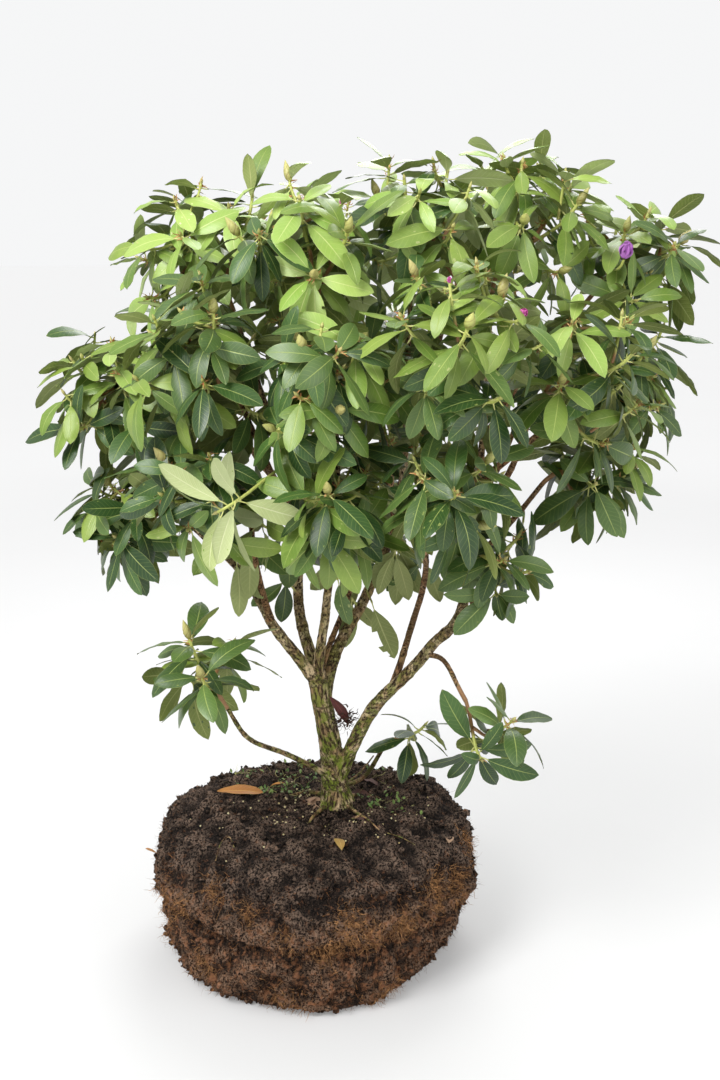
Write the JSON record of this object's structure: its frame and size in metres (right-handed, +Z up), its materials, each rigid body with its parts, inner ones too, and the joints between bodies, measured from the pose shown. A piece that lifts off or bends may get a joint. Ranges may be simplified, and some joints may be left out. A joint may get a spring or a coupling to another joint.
{
  "type": "rhododendron with root ball",
  "caption": "Evergreen rhododendron shrub with bare forking stems under a broad leafy crown, lifted on a round peat root ball.",
  "frame": {"origin": "middle of the root ball's flat underside", "axes": "+Z up along the trunk, +X to the right seen from the front, -Y towards the front"},
  "size_m": [0.9559, 0.7666, 1.2223],
  "materials": {
    "root_ball": "moist dark peat with coarse fibres",
    "bark": "fissured grey-brown bark with green algae low down",
    "leaf": "leathery glossy dark green, paler below"
  },
  "bodies": {
    "root": {"root_ball": "root_ball", "trunk": "bark", "stem_right": "bark", "bough_left": "bark", "bough_left_upright": "bark", "bough_front": "bark", "bough_centre": "bark", "bough_back": "bark", "bough_low_left": "bark", "bough_low_back": "bark", "bough_low_right": "bark", "bough_left_outer": "bark", "bough_left_front": "bark", "bough_left_middle": "bark", "bough_back_left": "bark", "bough_top_back_left": "bark", "bough_centre_low": "bark", "bough_top_left": "bark", "bough_back_middle": "bark", "bough_heart": "bark", "bough_top_back": "bark", "bough_centre_right_low": "bark", "bough_lower_right": "bark", "bough_right_low": "bark", "bough_centre_right": "bark", "bough_right_middle": "bark", "bough_right": "bark", "bough_back_right": "bark", "bough_shoulder": "bark", "foliage_left_top": "leaf", "foliage_top_left": "leaf", "foliage_top": "leaf", "foliage_top_right": "leaf", "foliage_shoulder": "leaf", "foliage_top_back_left": "leaf", "foliage_top_back": "leaf", "foliage_left_tip": "leaf", "foliage_left_middle": "leaf", "foliage_centre": "leaf", "foliage_centre_right": "leaf", "foliage_right_middle": "leaf", "foliage_right": "leaf", "foliage_back_left": "leaf", "foliage_heart": "leaf", "foliage_back": "leaf", "foliage_back_right": "leaf", "foliage_left_low": "leaf", "foliage_left_front": "leaf", "foliage_centre_low": "leaf", "foliage_centre_right_low": "leaf", "foliage_right_low": "leaf", "foliage_lower_right": "leaf", "foliage_back_low": "leaf", "foliage_low_left": "leaf", "foliage_low_right": "leaf", "foliage_low_back": "leaf"}
  },
  "joints": []
}
